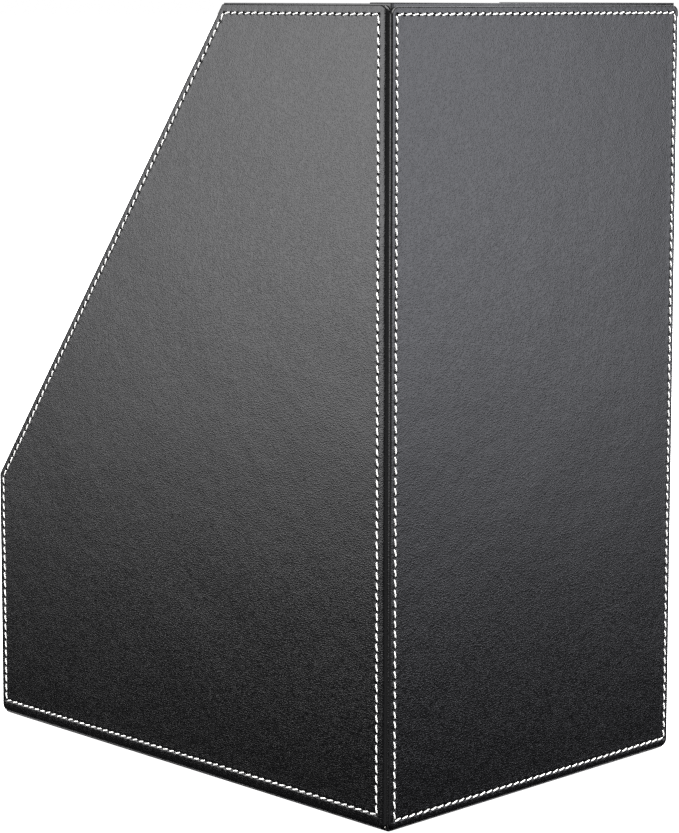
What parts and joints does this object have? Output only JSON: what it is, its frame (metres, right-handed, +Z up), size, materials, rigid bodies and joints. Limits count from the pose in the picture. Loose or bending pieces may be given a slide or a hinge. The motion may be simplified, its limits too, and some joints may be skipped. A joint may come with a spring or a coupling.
{
  "type": "magazine file holder",
  "caption": "Leather-covered magazine file holder with a tall back, a low front, sloping sides, a middle divider and contrast stitching round each outer panel.",
  "frame": {"origin": "bottom centre of the holder, on the underside of the base felt", "axes": "+Z up; +Y towards the tall back; -Y towards the low front; +X towards the right side panel"},
  "size_m": [0.172, 0.246, 0.32],
  "materials": {
    "fibreboard": "raw medium-density fibreboard, hidden under the coverings",
    "brad_steel": "bright wire brads, hidden",
    "base_felt": "black needle felt",
    "leather_wrap": "thin black coated leather, fine pebble grain, semi-matt",
    "stiffener_card": "grey board, hidden",
    "panel_leather": "black coated leather, fine pebble grain, semi-matt sheen",
    "white_thread": "off-white twisted sewing thread",
    "velvet_lining": "black short-pile velvet"
  },
  "bodies": {
    "root": {"base_board": "fibreboard", "back_board": "fibreboard", "front_board": "fibreboard", "right_side_board": "fibreboard", "left_side_board": "fibreboard", "divider_board": "fibreboard", "corner_brads": "brad_steel", "base_felt": "base_felt", "back_wrap": "leather_wrap", "front_wrap": "leather_wrap", "right_side_wrap": "leather_wrap", "left_side_wrap": "leather_wrap", "divider_wrap": "leather_wrap", "back_panel_card": "stiffener_card", "front_panel_card": "stiffener_card", "right_panel_card": "stiffener_card", "left_panel_card": "stiffener_card", "back_panel_leather": "panel_leather", "front_panel_leather": "panel_leather", "right_panel_leather": "panel_leather", "left_panel_leather": "panel_leather", "back_stitching": "white_thread", "front_stitching": "white_thread", "right_stitching": "white_thread", "left_stitching": "white_thread", "right_slot_side_lining": "velvet_lining", "right_slot_divider_lining": "velvet_lining", "right_slot_back_lining": "velvet_lining", "right_slot_front_lining": "velvet_lining", "right_slot_floor_lining": "velvet_lining", "left_slot_side_lining": "velvet_lining", "left_slot_divider_lining": "velvet_lining", "left_slot_back_lining": "velvet_lining", "left_slot_front_lining": "velvet_lining", "left_slot_floor_lining": "velvet_lining"}
  },
  "joints": []
}
